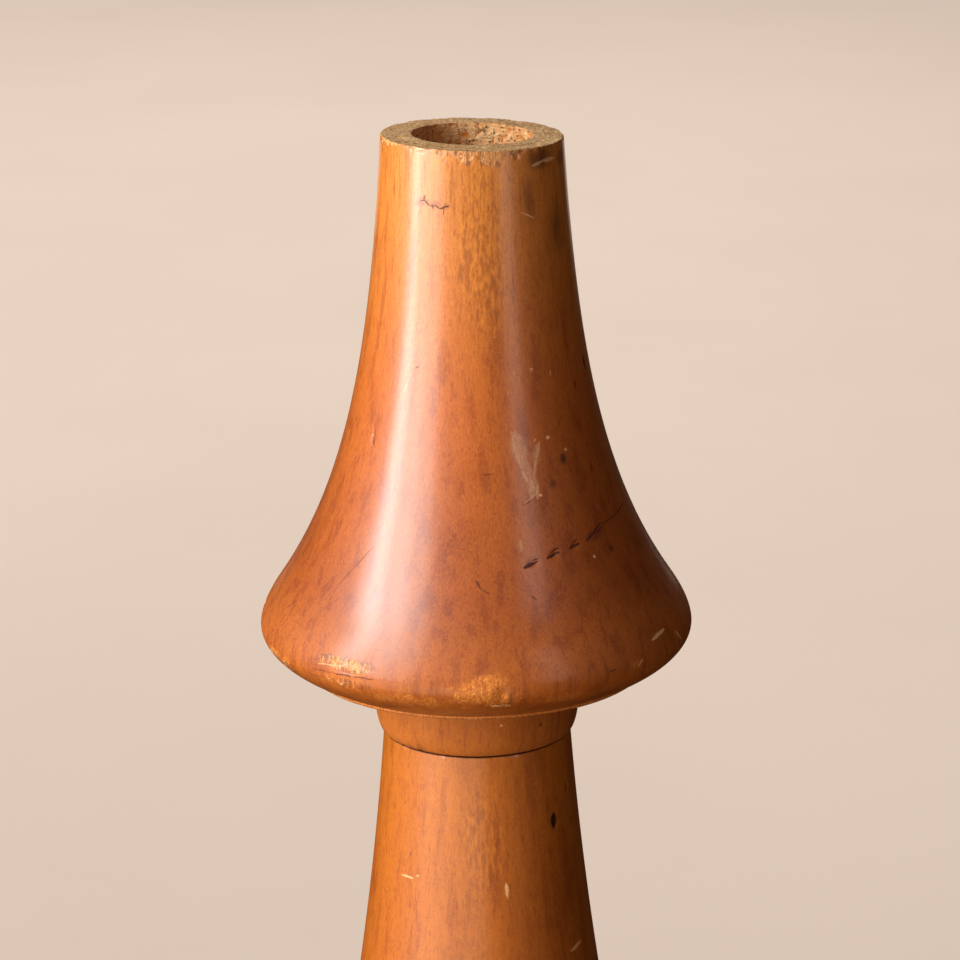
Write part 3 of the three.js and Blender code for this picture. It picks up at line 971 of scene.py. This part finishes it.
# The photograph's view.
studio = {
    "lens": 123.67,
    "distance": 1.0613,
    "pitch": 16.476,
    "aimHeight": 0.30768,
    "aimRight": 1.6 * mm,
    "roll": -0.49,
    "floorSize": 14.0,
    "floorColour": "e2cdbc",
    "floorShade": "dfcab9",
    "worldColour": (0.02, 0.01, 0.004),
    "worldStrength": 1.0,
}
pitch = math.radians(studio["pitch"])
cameraData = bpy.data.cameras.new("camera")
cameraData.lens = studio["lens"]
cameraData.sensor_width = 36
camera = bpy.data.objects.new("camera", cameraData)
bpy.context.scene.collection.objects.link(camera)
reach = studio["distance"]
stand = Vector((0, -reach * math.cos(pitch), studio["aimHeight"] + reach * math.sin(pitch)))
look = Vector((studio["aimRight"], 0, studio["aimHeight"])) - stand
turned = look.to_track_quat("-Z", "Y").to_matrix().to_4x4()
turned = turned @ Matrix.Rotation(math.radians(studio["roll"]), 4, "Z")
camera.matrix_world = Matrix.Translation(stand) @ turned
bpy.context.scene.camera = camera
bpy.context.scene.view_settings.view_transform = "Standard"

floorMesh = bpy.data.meshes.new("floor")
half = studio["floorSize"] / 2
corners = [(-half, -half, 0), (half, -half, 0), (half, half, 0), (-half, half, 0)]
floorMesh.from_pydata(corners, [], [(0, 1, 2, 3)])
floor = bpy.data.objects.new("floor", floorMesh)
bpy.context.scene.collection.objects.link(floor)
floorPaint, floorTree, floorSurface, floorPlace = newFinish("floorPaint")
floorTone = cloud(floorTree, floorPlace, 0.5, 1.0, 1, 4, 0.6)
floorSurface.inputs["Specular IOR Level"].default_value = 0.2
paint = blend(floorTree, window(floorTree, floorTone, 0.3, 0.7),
              hexColour(studio["floorShade"]), hexColour(studio["floorColour"]))
floorTree.links.new(paint, floorSurface.inputs["Base Color"])
floorTree.links.new(maths(floorTree, "MULTIPLY_ADD", floorTone, 0.2, 0.6), floorSurface.inputs["Roughness"])
floorMesh.materials.append(floorPaint)
floor.visible_diffuse = False
floor.visible_glossy = False


def softbox(name, place, aim, size, power, colour, lit):
    # lit: the collection that this light falls on
    data = bpy.data.lights.new(name, "AREA")
    data.shape = "RECTANGLE"
    data.size, data.size_y = size
    data.energy = power
    data.color = colour
    made = bpy.data.objects.new(name, data)
    bpy.context.scene.collection.objects.link(made)
    facing = Vector(aim) - Vector(place)
    made.matrix_world = Matrix.Translation(place) @ facing.to_track_quat("-Z", "Y").to_matrix().to_4x4()
    made.visible_camera = False
    made.light_linking.receiver_collection = lit


heart = (0, 0, 0.34)                              # the middle of the bell


def around(azimuth, elevation, distance=1.15):
    # where a light stands: degrees from the front towards +X, degrees up, metres from the bell's middle
    flat = distance * math.cos(math.radians(elevation))
    turn = math.radians(azimuth)
    height = heart[2] + distance * math.sin(math.radians(elevation))
    return (flat * math.sin(turn), -flat * math.cos(turn), height)


floorOnly = bpy.data.collections.new("floorOnly")
floorOnly.objects.link(floor)
pieceOnly = bpy.data.collections.new("pieceOnly")
for piece in (bell, body):
    pieceOnly.objects.link(piece)
white, offWhite = (1, 1, 1), (1.0, 0.97, 0.93)
# name, place, what it is aimed at, size in metres, power in watts, colour
pieceLights = [
    # a window to the left with a brighter middle, and a softer glow nearer the front
    ("window", around(-66, 20), heart, (0.6, 1.0), 14, white),
    ("windowMiddle", around(-70, 20), heart, (0.2, 1.1), 8, white),
    ("glow", around(-45, 20), heart, (0.4, 1.0), 8, offWhite),
    ("right", around(40, 15), heart, (0.3, 0.9), 2, (1.0, 0.86, 0.78)),
    # warm light thrown up by the table, and a little from above and behind
    ("table", (-0.30, -0.50, 0.01), (-0.10, -0.14, 0.26), (0.9, 0.4), 3, (1.0, 0.78, 0.56)),
    ("above", (-0.25, -0.1, 1.5), (0, 0, 0.4), (0.7, 0.7), 2, (1.0, 0.96, 0.90)),
    ("edges", (0, 1.7, 0.30), (0, 0, 0.30), (1.5, 0.5), 2, (1.0, 0.84, 0.68)),
    ("behind", (0, 1.4, 1.1), (0, 0, 0.25), (1.2, 0.8), 7, (1.0, 0.88, 0.76)),
]
for light in pieceLights:
    softbox(*light, pieceOnly)
softbox("floorLight", (-0.4, 1.9, 3.4), (0, 1.9, 0), (5.0, 4.0), 200, white, floorOnly)

world = bpy.data.worlds.new("studio")
world.use_nodes = True
bpy.context.scene.world = world
for node in world.node_tree.nodes:
    if node.type == "BACKGROUND":
        node.inputs["Color"].default_value = studio["worldColour"] + (1,)
        node.inputs["Strength"].default_value = studio["worldStrength"]
print("view and lights set")
